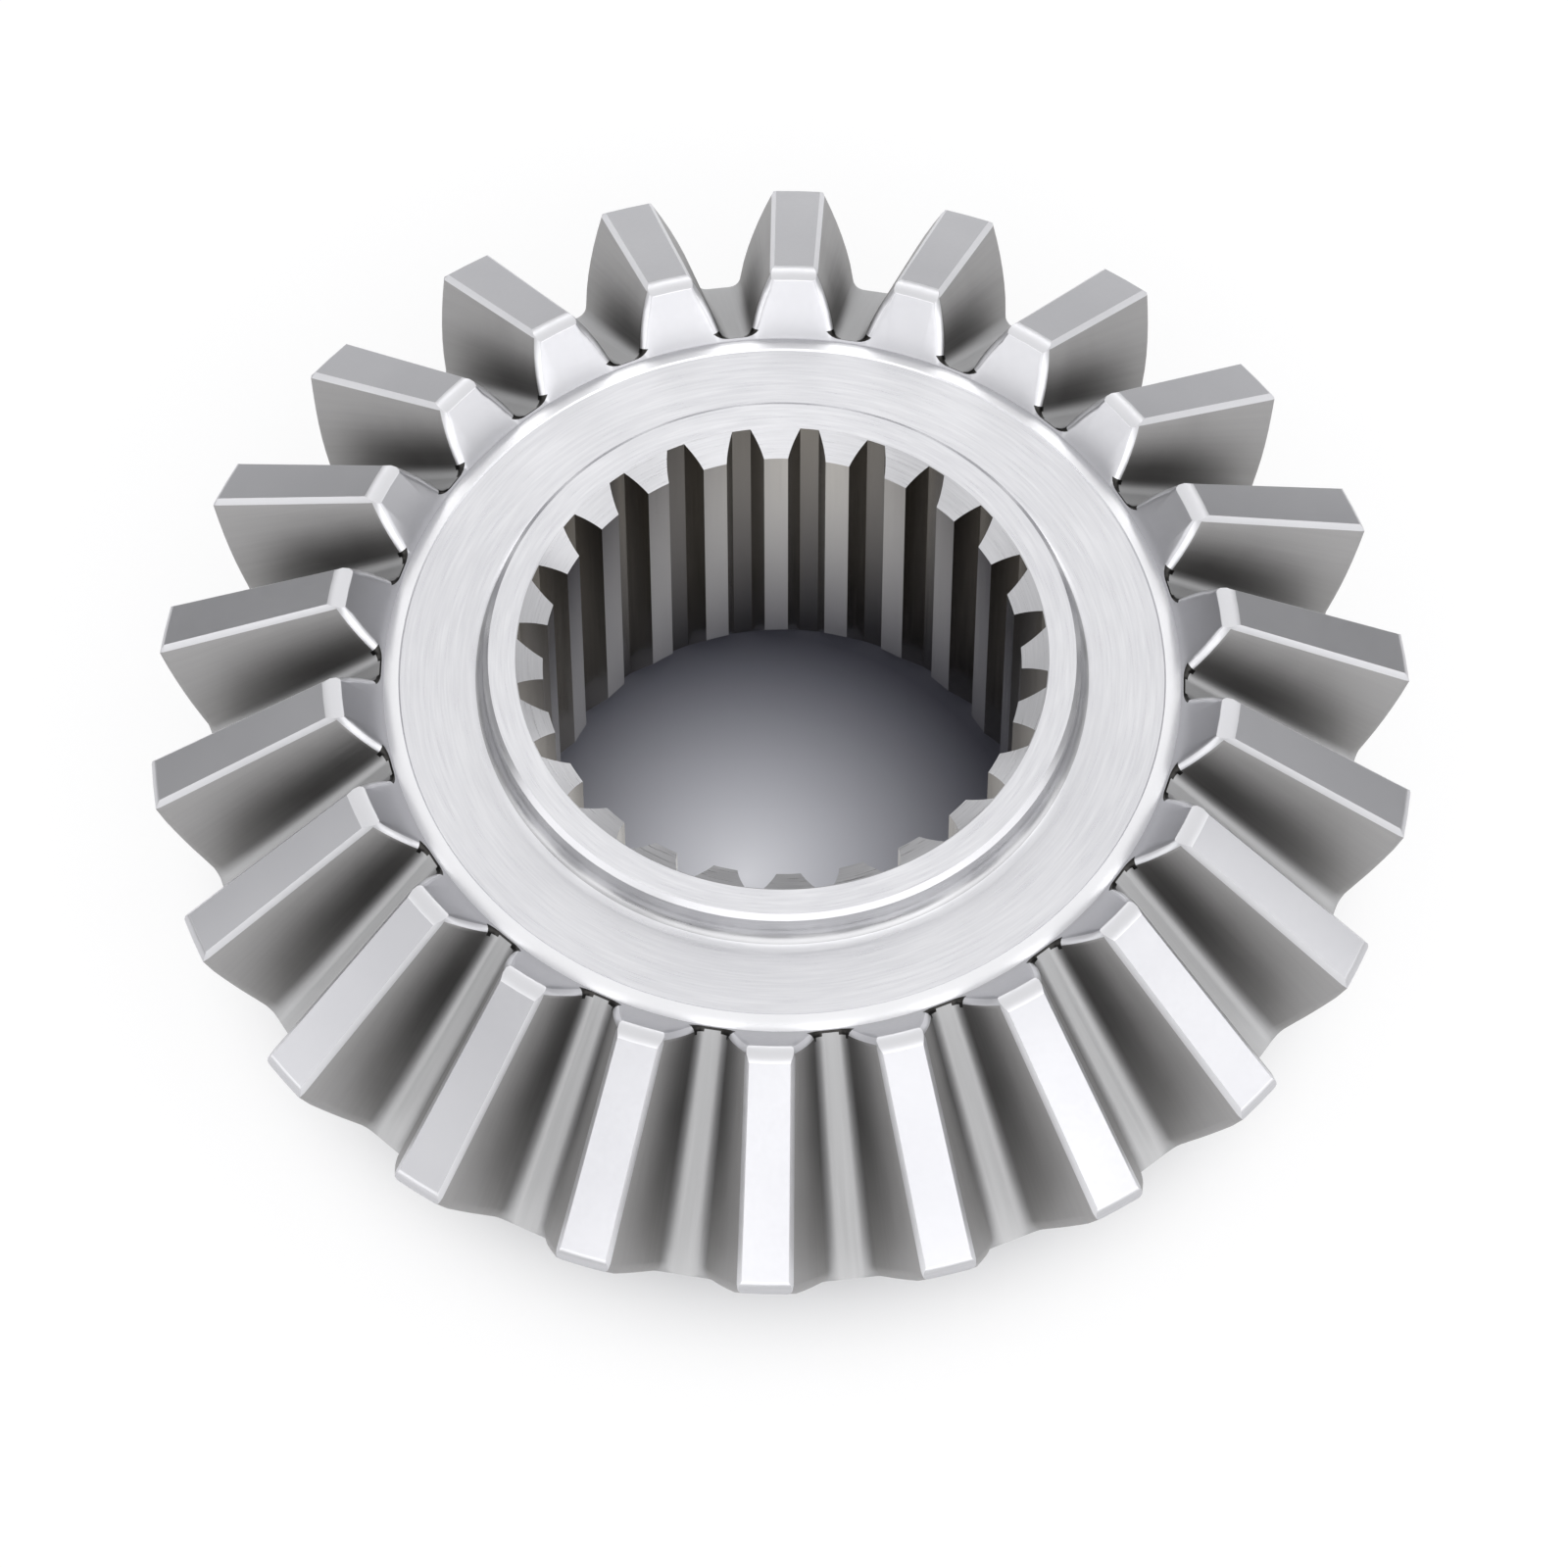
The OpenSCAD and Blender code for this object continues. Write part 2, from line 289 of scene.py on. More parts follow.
foot, foot_next = gap_point(FLOOR_R), gap_point(FLOOR_R + FOOT_FILLET)
foot_slope = atan((foot_next - foot).x / (foot_next - foot).y)
fillet_centre = foot + FOOT_FILLET * Vector((-(1 - sin(foot_slope)) / cos(foot_slope), 1))


def half_gap(tip_h, edge):
    """Half the section through a gap, from the middle of its floor to a point past the land's broken edge."""
    start, end = FLOOR_R + FOOT_FILLET, VIRTUAL_R + tip_h - edge
    points = [Vector((0, -DEDENDUM))] + arc(fillet_centre, FOOT_FILLET, -pi / 2, -foot_slope)
    points += [gap_point(start + (end - start) * i / FLANK_STEPS) for i in range(1, FLANK_STEPS + 1)]
    return points + [points[-1] + (edge + 1) * Vector((1, 1))]


def gap_ring(slant, angle, flare, edge):
    """Half a gap's section in space, by its distance along the pitch cone and its lean from the axis.

    The flare widens the gap, as a rounded edge does where it runs out into an end face.
    """
    back, rise = 1 / tan(angle + PITCH_ANGLE), tan(TIP_ANGLE - PITCH_ANGLE)
    tip_rise = (ADDENDUM - (CONE_L - slant) * rise) / (1 + back * rise)
    tip_scale = (slant - tip_rise * back) / CONE_L
    half = half_gap(tip_rise / tip_scale, edge / tip_scale)
    ring = []
    for i, p in enumerate(half):
        along = (half[min(len(half) - 1, i + 1)] - half[max(0, i - 1)]).normalized()
        share = min(1, (p.y + DEDENDUM) / FOOT_FILLET)
        p = p + flare / tip_scale * share * Vector((along.y, -along.x))
        at = slant / (1 + p.y * back / CONE_L)
        q = cone_point(at, p.y * at / CONE_L)
        ring.append(Vector((q.x, p.x * at / CONE_L, q.y)))
    return ring


def cut(a, b, point, direction):
    """The point of a line in space on the cone that a line of the outline turns, found by secants."""
    def outside(p):
        return (Vector((hypot(p.x, p.y), p.z)) - point).cross(direction)

    for _ in range(CUT_STEPS):
        there, here = outside(a), outside(b)
        if abs(here - there) < NO_CHANGE:
            break
        a, b = b, a.lerp(b, there / (there - here))
    return b


def turned(p, around):
    """A point of the outline, brought round the axis to where another point stands."""
    angle = atan2(around.y, around.x)
    return Vector((p.x * cos(angle), p.x * sin(angle), p.y))


def on_circle(p, points):
    """A point of the outline, brought round the axis to where each of a row of points stands."""
    return [turned(p, q) for q in points]


tooth_middle = Vector((cos(pi / TEETH), sin(pi / TEETH), 0))


def tooth_end(end_l, inward, lean_angle, end_pitch, end_dir, chamfer, drop, edge_r):
    """Half rows round one end of a gap, from the end face over the rounded edge to the straight flanks."""
    rows = []
    for step in range(EDGE_STEPS + 1):
        turn = pi / 2 * step / EDGE_STEPS
        flare = edge_r * (1 - sin(turn))
        top = soft_chamfer(chamfer, cos(turn))
        cut_off = drop * cos(turn)
        edge = max(LAND_BREAK, cut_off)
        ring = gap_ring(end_l - inward * edge_r * (1 - cos(turn)), lean_angle, flare, edge)
        row = ring[:-1]
        # The first row is brought onto the end face, and each row ends on the chamfer
        if step == 0:
            beyond = gap_ring(end_l + inward, lean_angle, flare, edge)
            row = [cut(a, b, end_pitch, end_dir) for a, b in zip(beyond, row)]
        if cut_off < LAND_BREAK:
            on_land = cut(ring[-2], ring[-1], heel_tip, tip_dir)
            corner = turned(top, row[-1].lerp(on_land, 1 - cut_off / LAND_BREAK))
        else:
            corner = row[-1] = turned(top, row[-1])
        rows.append(row + [corner, turned(top, tooth_middle)])
    return rows


# The gear's mesh

def both_sides(half):
    """Half a row, from a gap's middle to a tooth's middle, with its mirror image before it."""
    return [Vector((p.x, -p.y, p.z)) for p in reversed(half[1:])] + half


def skin(bm, rows, finish):
    """Extrudes a chain of edges from row to row, and gives each face the finish of its row and column."""
    verts = [bm.verts.new(p * MM) for p in rows[0]]
    chain = [bm.edges.new(pair) for pair in zip(verts, verts[1:])]
    for k, row in enumerate(rows[1:]):
        made = set(bmesh.ops.extrude_edge_only(bm, edges=chain)["geom"])
        verts = [next(e.other_vert(v) for e in v.link_edges if e.other_vert(v) in made) for v in verts]
        for column, edge in enumerate(chain):
            face = next(f for f in edge.link_faces if f in made)
            face.material_index = finish(k, column)
            face.smooth = True
        for v, p in zip(verts, row):
            v.co = p * MM
        chain = [bm.edges.get(pair) for pair in zip(verts, verts[1:])]


def all_round(bm, count):
    """Repeats one pitch round the axis and joins the seams."""
    geom = bm.verts[:] + bm.edges[:] + bm.faces[:]
    bmesh.ops.spin(bm, geom=geom, cent=(0, 0, 0), axis=(0, 0, 1), angle=2 * pi * (count - 1) / count,
                   steps=count - 1, use_duplicate=True, use_merge=False)
    bmesh.ops.remove_doubles(bm, verts=bm.verts[:], dist=SAME_POINT)


# Each face's finish is its material's number, in the order in which make_finishes lists them
# SCALE is the finish of the painted shade, nearly black, in the corners of the gaps near the toe
TURNED, FLANK, BORE, BREAK, GROUND, RIM, SCALE, WALL, TIP, CHAMFER = range(10)


def tooth_finish(from_heel, from_toe, from_land, from_middle):
    """The finish of a face on the teeth, by the rows and columns that lie between it and each of these."""
    # Broken edges, along the land and round the toe, take a pale tone, a painted highlight
    if from_land == 0:
        if from_toe < EDGE_STEPS:
            return BREAK
        # The land's heel chamfer takes the chamfers' lighter painted shade
        return CHAMFER if from_heel < EDGE_STEPS else GROUND
    if from_land == 1:
        return BREAK
    if from_middle <= ARC_STEPS:
        # Near the toe the corners of a gap are nearly black, a painted shade
        return SCALE if from_toe < CORNER_SHADE_ROWS + (from_middle + 1) // CORNER_SHADE_ARCH else FLANK
    if from_toe == 0:
        return GROUND
    return BREAK if from_toe < TOE_BREAK_ROWS else FLANK


def toothed_ring():
    """The outside of the gear, from the rear end face round the teeth to the hub's top."""
    heel = tooth_end(CONE_L, 1, HEEL_ANGLE, heel_pitch, heel_dir, heel_chamfer, HEEL_CHAMFER_DROP, HEEL_BREAK)
    toe = tooth_end(CONE_L - FACE_W, -1, TOE_ANGLE, toe_pitch, toe_dir, toe_chamfer, TOE_CHAMFER_DROP,
                    TOE_BREAK)
    teeth = heel + toe[::-1]
    rear = [Vector((JOURNAL_R - JOURNAL_CHAMFER, 0)), Vector((JOURNAL_R, JOURNAL_CHAMFER))]
    rear += arc(Vector((JOURNAL_R + JOURNAL_FILLET, JOURNAL_L - JOURNAL_FILLET)), JOURNAL_FILLET, pi, pi / 2)
    rear += [thrust_edge - Vector((THRUST_CHAMFER, 0)), thrust_edge + THRUST_CHAMFER * heel_dir]
    rear.append(heel_root - HEEL_FOOT * heel_dir)
    front = [rim_outer + Vector((-RIM_W * t, RIM_RISE * (1 - (1 - t) ** 2))) for t in RIM_ROUNDING]
    front.append(Vector((rim_inner.x - FACE_RECESS, FRONT_Z)))
    front += arc(Vector((HUB_R + HUB_FILLET, FRONT_Z + HUB_FILLET)), HUB_FILLET, 3 * pi / 2, pi)
    front += [Vector((HUB_R, HUB_Z - HUB_CHAMFER)), Vector((HUB_R - HUB_CHAMFER, HUB_Z))]
    rows = [on_circle(p, heel[0]) for p in rear] + teeth + [on_circle(p, toe[0]) for p in front]
    half = len(heel[0]) - 1

    first, last = len(rear), len(rear) + len(teeth) - 1
    chamfer = len(rows) - 2
    wall = chamfer - 1 - (ARC_STEPS - FILLET_ON_FACE)

    def finish(row, column):
        if first <= row < last:
            from_land = min(column, 2 * half - 1 - column)
            return tooth_finish(row - first, last - 1 - row, from_land, half - 1 - from_land)
        if row in (first - 1, last):
            return GROUND
        # The rounded rim takes the palest tone, a painted highlight
        if last < row < last + len(RIM_ROUNDING):
            return RIM
        # The hub's wall and the upper rows of its fillet take a painted shade, and its chamfer a lighter one
        if wall <= row < chamfer:
            return WALL
        return CHAMFER if row == chamfer else TURNED

    bm = bmesh.new()
    skin(bm, [both_sides(row) for row in rows], finish)
    all_round(bm, TEETH)
    return bm


def splined_bore():
    """The inside of the gear, from the mouth in the hub's top to the lead-in in the rear end face."""
    def gap_half(r):
        rolled = involute(PRESSURE) - involute(roll(SPLINE_R * cos(PRESSURE), r))
        return pi / (2 * SPLINE_TEETH) + rolled

    depth = SPLINE_MAJOR_R - SPLINE_MINOR_R
    gap, tip = gap_half(SPLINE_MAJOR_R), gap_half(SPLINE_MINOR_R)
    half = [(SPLINE_MAJOR_R, gap * i / SPLINE_GAP_STEPS) for i in range(SPLINE_GAP_STEPS)]
    for i in range(SPLINE_FLANK_STEPS + 1):
        r = SPLINE_MAJOR_R - depth * i / SPLINE_FLANK_STEPS
        half.append((r, gap_half(r)))
    for i in range(1, SPLINE_TIP_STEPS + 1):
        half.append((SPLINE_MINOR_R, tip + (pi / SPLINE_TEETH - tip) * i / SPLINE_TIP_STEPS))
    section = [(r, -a) for r, a in reversed(half[1:])] + half
    middle = SPLINE_TURN + pi / SPLINE_TEETH
    rows = []
    for radius, height in (
        (lambda r: MOUTH_R, lambda r: HUB_Z),
        (lambda r: r, lambda r: HUB_Z - (MOUTH_R - r) * tan(MOUTH_ANGLE)),
        (lambda r: r, lambda r: (MOUTH_R - r) / tan(LEAD_ANGLE)),
        (lambda r: MOUTH_R, lambda r: 0),
    ):
        rows.append([Vector((radius(r) * cos(middle + a), radius(r) * sin(middle + a), height(r)))
                     for r, a in section])
    columns = len(section) - 1

    def finish(row, column):
        if row != 1:
            # The dished mouth takes the chamfers' lighter painted shade
            return CHAMFER if row == 0 else TURNED
        return TIP if min(column, columns - 1 - column) < SPLINE_TIP_STEPS else BORE

    bm = bmesh.new()
    skin(bm, rows, finish)
    all_round(bm, SPLINE_TEETH)
    return bm


def open_edges(bm, z):
    """The open edges that lie at a height."""
    return [e for e in bm.edges if e.is_boundary and all(abs(v.co.z - z * MM) < SAME_POINT for v in e.verts)]


def make_finishes():
    """The gear's materials, in the order of the finishes' numbers."""
    return (
        turned_steel("turned_steel", TURNED_COLOURS),
        # planed flanks: a painted shade at the foot and a painted highlight on the root
        planed_steel("planed_steel", PLANED_COLOURS),
        # the bore: paler towards the rear end as painted light
        broached_steel("broached_steel", BROACHED_COLOURS),
        # the broken edges' pale tone: a painted highlight
        ground_steel("broken_edges_painted_highlight", BREAK_PAINTED_HIGHLIGHT_COLOURS, TUMBLED_ROUGHNESS),
        ground_steel("ground_steel", GROUND_COLOURS, GROUND_ROUGHNESS),
        # the rim's palest tone: a painted highlight
        ground_steel("tumbled_rim_painted_highlight", RIM_PAINTED_HIGHLIGHT_COLOURS, TUMBLED_ROUGHNESS),
        # the corners of the gaps near the toe: a painted shade
        ground_steel("painted_corner_shade", CORNER_PAINTED_SHADE_COLOURS, GROUND_ROUGHNESS),
        # the hub's wall: a painted shade
        turned_steel("turned_wall_painted_shade", WALL_PAINTED_SHADE_COLOURS),
        # the spline tips: a painted highlight, paler towards the rear end as painted light
        broached_steel("reamed_steel_painted_highlight", REAMED_PAINTED_HIGHLIGHT_COLOURS),
        # chamfers and the mouth: a lighter painted shade
        turned_steel("turned_chamfers_painted_shade", CHAMFER_PAINTED_SHADE_COLOURS),
    )


def make_gear():
    """The whole gear as one closed mesh, with a finish for each kind of surface."""
    mesh = bpy.data.meshes.new("side_gear_body")
    bm = toothed_ring()
    inner = splined_bore()
    inner.to_mesh(mesh)
    bm.from_mesh(mesh)
    inner.free()
    for z in (HUB_Z, 0):
        for face in bmesh.ops.bridge_loops(bm, edges=open_edges(bm, z))["faces"]:
            face.smooth = True
            face.material_index = TURNED
    bmesh.ops.recalc_face_normals(bm, faces=bm.faces[:])
    bm.to_mesh(mesh)
    bm.free()
    mesh.set_sharp_from_angle(angle=SHARP_ANGLE)
    gear = bpy.data.objects.new("side_gear_body", mesh)
    bpy.context.scene.collection.objects.link(gear)
    shading = gear.modifiers.new("flat_faces_stay_flat", "WEIGHTED_NORMAL")
    shading.keep_sharp = True
    for material in make_finishes():
        mesh.materials.append(material)
    return gear


# Materials

def linear(hex_colour):
    """An sRGB hex colour as the linear values that a shader takes."""
    values = [int(hex_colour[i:i + 2], 16) / 255 for i in (1, 3, 5)]
    return [v / 12.92 if v <= 0.04045 else ((v + 0.055) / 1.055) ** 2.4 for v in values] + [1]


def add(tree, kind, inputs=(), **settings):
    """Adds a node with its settings; an input is a value, or the socket that feeds it."""
    node = tree.nodes.new(kind)
    for name, value in settings.items():
        setattr(node, name, value)
    for key, value in dict(inputs).items():
        if isinstance(value, bpy.types.NodeSocket):
            tree.links.new(value, node.inputs[key])
        else:
            node.inputs[key].default_value = value
    return node


def new_material(name):
    """An empty material and its tree."""
    material = bpy.data.materials.new(name)
    material.use_nodes = True
    material.node_tree.nodes.clear()
    return material, material.node_tree


def steel(tree, tone, marks, roughness, relief_mm, **shine):
    """Bare steel whose marks shift its roughness and stand up as a fine relief."""
    rough = add(tree, "ShaderNodeMapRange", {"Value": marks, "From Min": MARK_RANGE[0],
                                             "From Max": MARK_RANGE[1], "To Min": roughness[0],
                                             "To Max": roughness[1]})
    relief = add(tree, "ShaderNodeBump", {"Height": marks, "Strength": 1, "Distance": relief_mm * MM})
    shader = add(tree, "ShaderNodeBsdfPrincipled", {"Base Color": tone, "Metallic": 1,
                                                    "Roughness": rough.outputs[0],
                                                    "Normal": relief.outputs[0], **shine})
    add(tree, "ShaderNodeOutputMaterial", {"Surface": shader.outputs[0]})


def turned_steel(name, colours):
    """Steel turned on a lathe: fine circular marks, and highlights that fan out across them."""
    material, tree = new_material(name)
    point = add(tree, "ShaderNodeTexCoord").outputs["Object"]
    flat = add(tree, "ShaderNodeVectorMath", {0: point, 1: (1, 1, 0)}, operation="MULTIPLY").outputs[0]
    radius = add(tree, "ShaderNodeVectorMath", {0: flat}, operation="LENGTH").outputs["Value"]
    height = add(tree, "ShaderNodeSeparateXYZ", {0: point}).outputs["Z"]
    along = add(tree, "ShaderNodeMath", {0: height, 1: HEIGHT_SHARE, 2: radius},
                operation="MULTIPLY_ADD").outputs[0]
    feed = add(tree, "ShaderNodeMath", {0: along, 1: TURN_MARK * MM}, operation="DIVIDE").outputs[0]
    bearing = add(tree, "ShaderNodeVectorMath", {0: flat}, operation="NORMALIZE").outputs[0]
    round_about = add(tree, "ShaderNodeVectorMath", {0: bearing, "Scale": TURN_STREAKS},
                      operation="SCALE").outputs[0]
    lift = add(tree, "ShaderNodeCombineXYZ", {"Z": feed}).outputs[0]
    lines = add(tree, "ShaderNodeVectorMath", {0: round_about, 1: lift}, operation="ADD").outputs[0]
    marks = add(tree, "ShaderNodeTexNoise", {"Vector": lines, **STREAKS}).outputs[0]
    blotches = add(tree, "ShaderNodeTexNoise", {"Vector": point, "Scale": 1 / (BLOTCH * MM),
                                                "Detail": SOFT_DETAIL}).outputs[0]
    both = add(tree, "ShaderNodeMix", {"Factor": MARKS_IN_TONE, VALUE_A: blotches, VALUE_B: marks}).outputs[0]
    share = add(tree, "ShaderNodeMapRange", {"Value": both, "From Min": TONE_RANGE[0],
                                             "From Max": TONE_RANGE[1]}).outputs[0]
    deep, pale = (linear(colour) for colour in colours)
    tone = add(tree, "ShaderNodeMix", {"Factor": share, COLOUR_A: deep, COLOUR_B: pale},
               data_type="RGBA").outputs[COLOUR_OUT]
    tangent = add(tree, "ShaderNodeVectorMath", {0: (0, 0, 1), 1: point},
                  operation="CROSS_PRODUCT").outputs[0]
    steel(tree, tone, marks, TURNED_ROUGHNESS, TURNED_RELIEF,
          **{"Anisotropic": FAN, "Anisotropic Rotation": FAN_TURN, "Tangent": tangent})
    return material


def planed_steel(name, colours):
    """Steel planed towards the apex: matt, with faint streaks along each tooth, a painted shade deep at its
    foot and a painted highlight on its root.
    """
    material, tree = new_material(name)
    point = add(tree, "ShaderNodeTexCoord").outputs["Object"]
    ray = add(tree, "ShaderNodeVectorMath", {0: point, 1: (0, 0, APEX_Z * MM)},
              operation="SUBTRACT").outputs[0]
    heading = add(tree, "ShaderNodeVectorMath", {0: ray}, operation="NORMALIZE").outputs[0]
    across = add(tree, "ShaderNodeVectorMath", {0: heading, "Scale": CONE_L / PLANE_MARK},
                 operation="SCALE").outputs[0]
    far = add(tree, "ShaderNodeVectorMath", {0: ray}, operation="LENGTH").outputs["Value"]
    along = add(tree, "ShaderNodeMath", {0: far, 1: PLANE_STREAK * MM}, operation="DIVIDE").outputs[0]
    lift = add(tree, "ShaderNodeCombineXYZ", {"Z": along}).outputs[0]
    lines = add(tree, "ShaderNodeVectorMath", {0: across, 1: lift}, operation="ADD").outputs[0]
    marks = add(tree, "ShaderNodeTexNoise", {"Vector": lines, **STREAKS}).outputs[0]
    down = add(tree, "ShaderNodeSeparateXYZ", {0: heading}).outputs["Z"]
    off_root = add(tree, "ShaderNodeMapRange", {"Value": down, "From Min": -cos(ROOT_ANGLE + ROOT_FROM),
                                                "From Max": -cos(ROOT_ANGLE + ROOT_TO)},
                   interpolation_type="SMOOTHSTEP").outputs[0]
    rise = add(tree, "ShaderNodeMapRange", {"Value": down, "From Min": -cos(ROOT_ANGLE + PAINTED_SHADE_FADE_FROM),
                                            "From Max": -cos(ROOT_ANGLE + PAINTED_SHADE_FADE_TO)},
               interpolation_type="SMOOTHSTEP").outputs[0]
    heelward = add(tree, "ShaderNodeMapRange", {"Value": far, "From Min": HEEL_LIFT_FROM * MM,
                                                "From Max": CONE_L * MM},
                   interpolation_type="SMOOTHSTEP").outputs[0]
    clouds = add(tree, "ShaderNodeTexNoise", {"Vector": point, "Scale": 1 / (CLOUD * MM),
                                              "Detail": SOFT_DETAIL}).outputs[0]
    drifted = add(tree, "ShaderNodeMath", {0: clouds, 1: CLOUD_SHARE, 2: -CLOUD_SHARE / 2},
                  operation="MULTIPLY_ADD").outputs[0]
    out_of_painted_shade = add(tree, "ShaderNodeMath", {0: rise, 1: drifted}, operation="ADD", use_clamp=True).outputs[0]
    # The root's paler tone is a painted highlight; the feet's tones are a painted shade that fades towards
    # the top
    root, toe_foot, heel_foot, top = (linear(colour) for colour in colours)
    painted_foot_shade = add(tree, "ShaderNodeMix", {"Factor": heelward, COLOUR_A: toe_foot, COLOUR_B: heel_foot},
                    data_type="RGBA").outputs[COLOUR_OUT]
    flank_tone = add(tree, "ShaderNodeMix", {"Factor": out_of_painted_shade, COLOUR_A: painted_foot_shade, COLOUR_B: top},
                     data_type="RGBA").outputs[COLOUR_OUT]
    tone = add(tree, "ShaderNodeMix", {"Factor": off_root, COLOUR_A: root, COLOUR_B: flank_tone},
               data_type="RGBA").outputs[COLOUR_OUT]
    steel(tree, tone, marks, PLANED_ROUGHNESS, PLANED_RELIEF)
    return material


def ground_steel(name, colours, roughness):
    """Steel ground or tumbled: an even satin with a fine grain and no lines."""
    material, tree = new_material(name)
    point = add(tree, "ShaderNodeTexCoord").outputs["Object"]
    marks = add(tree, "ShaderNodeTexNoise", {"Vector": point, "Scale": 1 / (GRAIN * MM),
                                             "Detail": SOFT_DETAIL}).outputs[0]
    blotches = add(tree, "ShaderNodeTexNoise", {"Vector": point, "Scale": 1 / (BLOTCH * MM),
                                                "Detail": SOFT_DETAIL}).outputs[0]
    deep, pale = (linear(colour) for colour in colours)
    tone = add(tree, "ShaderNodeMix", {"Factor": blotches, COLOUR_A: deep, COLOUR_B: pale},
               data_type="RGBA").outputs[COLOUR_OUT]
    steel(tree, tone, marks, roughness, GROUND_RELIEF)
    return material


def broached_steel(name, colours):
    """Steel cut along the bore by a broach or a reamer: smooth and warm, with streaks from end to end, and
    paler towards the rear end as painted light.
    """
    material, tree = new_material(name)
    point = add(tree, "ShaderNodeTexCoord").outputs["Object"]
    fine, long = 1 / (BROACH_MARK * MM), 1 / (BROACH_STREAK * MM)
    lines = add(tree, "ShaderNodeVectorMath", {0: point, 1: (fine, fine, long)},
                operation="MULTIPLY").outputs[0]
    marks = add(tree, "ShaderNodeTexNoise", {"Vector": lines, **STREAKS}).outputs[0]
    # Paler towards the rear end of the bore: painted light
    height = add(tree, "ShaderNodeSeparateXYZ", {0: point}).outputs["Z"]
    rise = add(tree, "ShaderNodeMapRange", {"Value": height, "From Max": HUB_Z * MM}).outputs[0]
    rear, mouth = (linear(colour) for colour in colours)
    tone = add(tree, "ShaderNodeMix", {"Factor": rise, COLOUR_A: rear, COLOUR_B: mouth},
               data_type="RGBA").outputs[COLOUR_OUT]
    steel(tree, tone, marks, BROACHED_ROUGHNESS, BROACHED_RELIEF)
    return material


def matt_floor():
    """Matt white paint: it takes the soft shadow, and is white to the camera and, further off, in steel.
    Inside the bore it has a painted shade and a spot of painted light that glows by itself.
    """
    material, tree = new_material("matt_white_paint")
    point = add(tree, "ShaderNodeTexCoord").outputs["Object"]
    radius = add(tree, "ShaderNodeVectorMath", {0: point}, operation="LENGTH").outputs["Value"]
    outside = add(tree, "ShaderNodeMapRange", {"Value": radius, "From Min": JOURNAL_R * MM,
                                               "From Max": GEAR_R * MM},
                  interpolation_type="SMOOTHSTEP").outputs[0]
    # Inside the bore the paint darkens away from one spot, a painted shade
    spot = [v * MM for v in BORE_PAINTED_LIGHT_SPOT]
    away = add(tree, "ShaderNodeVectorMath", {0: point, 1: spot}, operation="DISTANCE").outputs["Value"]
    shade = add(tree, "ShaderNodeMapRange", {"Value": away, "From Max": BORE_PAINTED_SHADE_REACH * MM}).outputs[0]
    painted_lit_tone, painted_shade_tone = (linear(colour) for colour in BORE_PAINTED_SHADE)
    inside = add(tree, "ShaderNodeMix", {"Factor": shade, COLOUR_A: painted_lit_tone, COLOUR_B: painted_shade_tone},
                 data_type="RGBA").outputs[COLOUR_OUT]
    paint = add(tree, "ShaderNodeMix", {"Factor": outside, COLOUR_A: inside, COLOUR_B: linear(FLOOR_WHITE)},
                data_type="RGBA").outputs[COLOUR_OUT]
    # The spot's painted light: a glow that fades away from it, which the camera sees in part and steel in
    # full
    pale = add(tree, "ShaderNodeMath", {0: 1, 1: shade}, operation="SUBTRACT").outputs[0]
    bright = add(tree, "ShaderNodeMath", {0: pale, 1: BORE_PAINTED_GLOW_FALLOFF}, operation="POWER").outputs[0]
    painted_glow = add(tree, "ShaderNodeMath", {0: bright, 1: BORE_PAINTED_GLOW}, operation="MULTIPLY").outputs[0]
    rays = add(tree, "ShaderNodeLightPath").outputs
    mirrored = add(tree, "ShaderNodeMath", {0: rays["Is Glossy Ray"], 1: rays["Is Transmission Ray"]},
                   operation="MAXIMUM").outputs[0]
    far_off = add(tree, "ShaderNodeMapRange", {"Value": radius, "From Min": GEAR_R * MM,
                                               "From Max": MIRROR_WHITE_R * MM, "To Max": FLOOR_LIFT},
                  interpolation_type="SMOOTHSTEP").outputs[0]
    round_gear = add(tree, "ShaderNodeMix", {"Factor": mirrored, VALUE_A: FLOOR_LIFT,
                                             VALUE_B: far_off}).outputs[0]
    painted_light_in_bore = add(tree, "ShaderNodeMix", {"Factor": mirrored, VALUE_A: painted_glow, VALUE_B: bright}).outputs[0]
    share = add(tree, "ShaderNodeMix", {"Factor": outside, VALUE_A: painted_light_in_bore, VALUE_B: round_gear}).outputs[0]
    seen = add(tree, "ShaderNodeMath", {0: mirrored, 1: rays["Is Camera Ray"]},
               operation="MAXIMUM").outputs[0]
    factor = add(tree, "ShaderNodeMath", {0: seen, 1: share}, operation="MULTIPLY").outputs[0]
    matt = add(tree, "ShaderNodeBsdfDiffuse", {"Color": paint, "Roughness": FLOOR_ROUGHNESS})
    glow = add(tree, "ShaderNodeEmission", {"Strength": 1})
    both = add(tree, "ShaderNodeMixShader", {0: factor, 1: matt.outputs[0], 2: glow.outputs[0]})
    add(tree, "ShaderNodeOutputMaterial", {"Surface": both.outputs[0]})
    return material


# Studio

def place(obj, at, towards):
    """Puts a camera or a lamp at a point and turns it towards another."""
    bpy.context.scene.collection.objects.link(obj)
    obj.location = at
    obj.rotation_mode = "QUATERNION"
    obj.rotation_quaternion = (Vector(towards) - Vector(at)).to_track_quat("-Z", "Y")


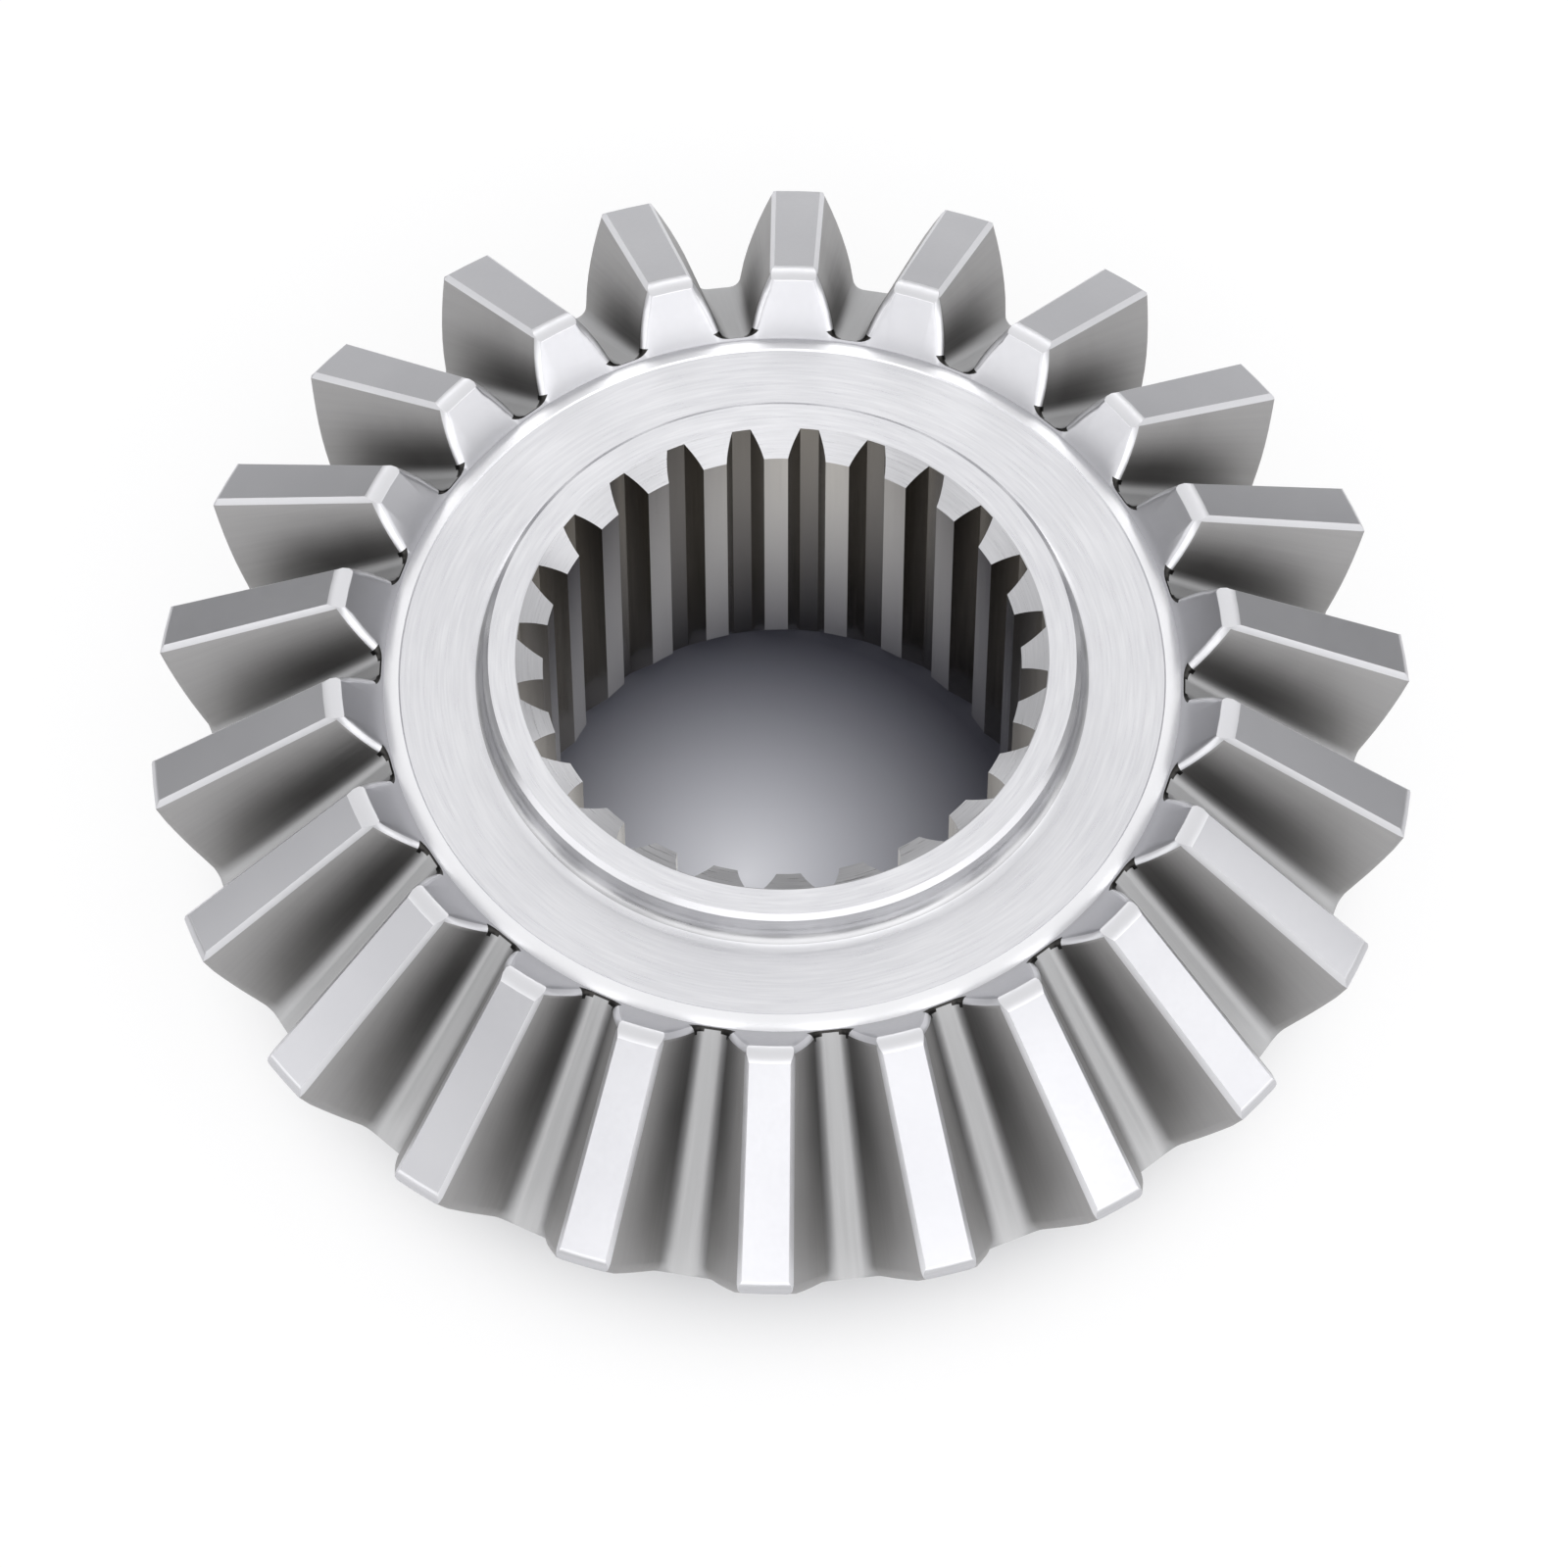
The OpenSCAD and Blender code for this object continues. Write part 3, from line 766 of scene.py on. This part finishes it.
def make_camera():
    """The photograph's camera: far off with a long lens, looking down on the front face."""
    camera = bpy.data.objects.new("camera", bpy.data.cameras.new("camera"))
    level = cos(CAMERA_TILT)
    look = Vector((sin(CAMERA_TURN) * level, cos(CAMERA_TURN) * level, -sin(CAMERA_TILT)))
    target = Vector(CAMERA_TARGET) * MM
    place(camera, target - CAMERA_DISTANCE * MM * look, target)
    camera.data.sensor_width = SENSOR_W
    camera.data.lens = SENSOR_W * CAMERA_DISTANCE / FRAME_W
    camera.data.clip_start, camera.data.clip_end = CLIP_START, CLIP_END
    bpy.context.scene.camera = camera


def make_lamp(name, direction, size, brightness):
    """A soft panel; a brightness of 1 shows white in a perfect mirror."""
    light = bpy.data.lights.new(name, "AREA")
    light.shape = "RECTANGLE"
    light.size, light.size_y = size
    light.energy = brightness * pi * size[0] * size[1]
    lamp = bpy.data.objects.new(name, light)
    place(lamp, LAMP_DISTANCE * Vector(direction).normalized(), (0, 0, 0))


def make_floor():
    """A plain floor under the gear, which isn't part of it."""
    mesh = bpy.data.meshes.new("floor")
    bm = bmesh.new()
    bmesh.ops.create_grid(bm, x_segments=1, y_segments=1, size=FLOOR_HALF)
    bm.to_mesh(mesh)
    bm.free()
    mesh.materials.append(matt_floor())
    floor = bpy.data.objects.new("floor", mesh)
    bpy.context.scene.collection.objects.link(floor)


def make_world():
    """A plain sky of light, bright above and dim at the horizon."""
    world = bpy.data.worlds.new("studio")
    world.use_nodes = True
    tree = world.node_tree
    tree.nodes.clear()
    towards = add(tree, "ShaderNodeTexCoord").outputs["Generated"]
    height = add(tree, "ShaderNodeSeparateXYZ", {0: towards}).outputs["Z"]
    strength = add(tree, "ShaderNodeMapRange", {"Value": height, "From Max": SKY_HEIGHT, "To Min": HORIZON,
                                                "To Max": SKY}, interpolation_type="SMOOTHSTEP").outputs[0]
    light = add(tree, "ShaderNodeBackground", {"Strength": strength})
    add(tree, "ShaderNodeOutputWorld", {"Surface": light.outputs[0]})
    bpy.context.scene.world = world


gear = make_gear()
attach(gear, "root")
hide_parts("side_gear")

make_floor()
make_world()
for name, direction, size, brightness in LAMPS:
    make_lamp(name, direction, size, brightness)
make_camera()
bpy.context.scene.view_settings.view_transform = "Standard"
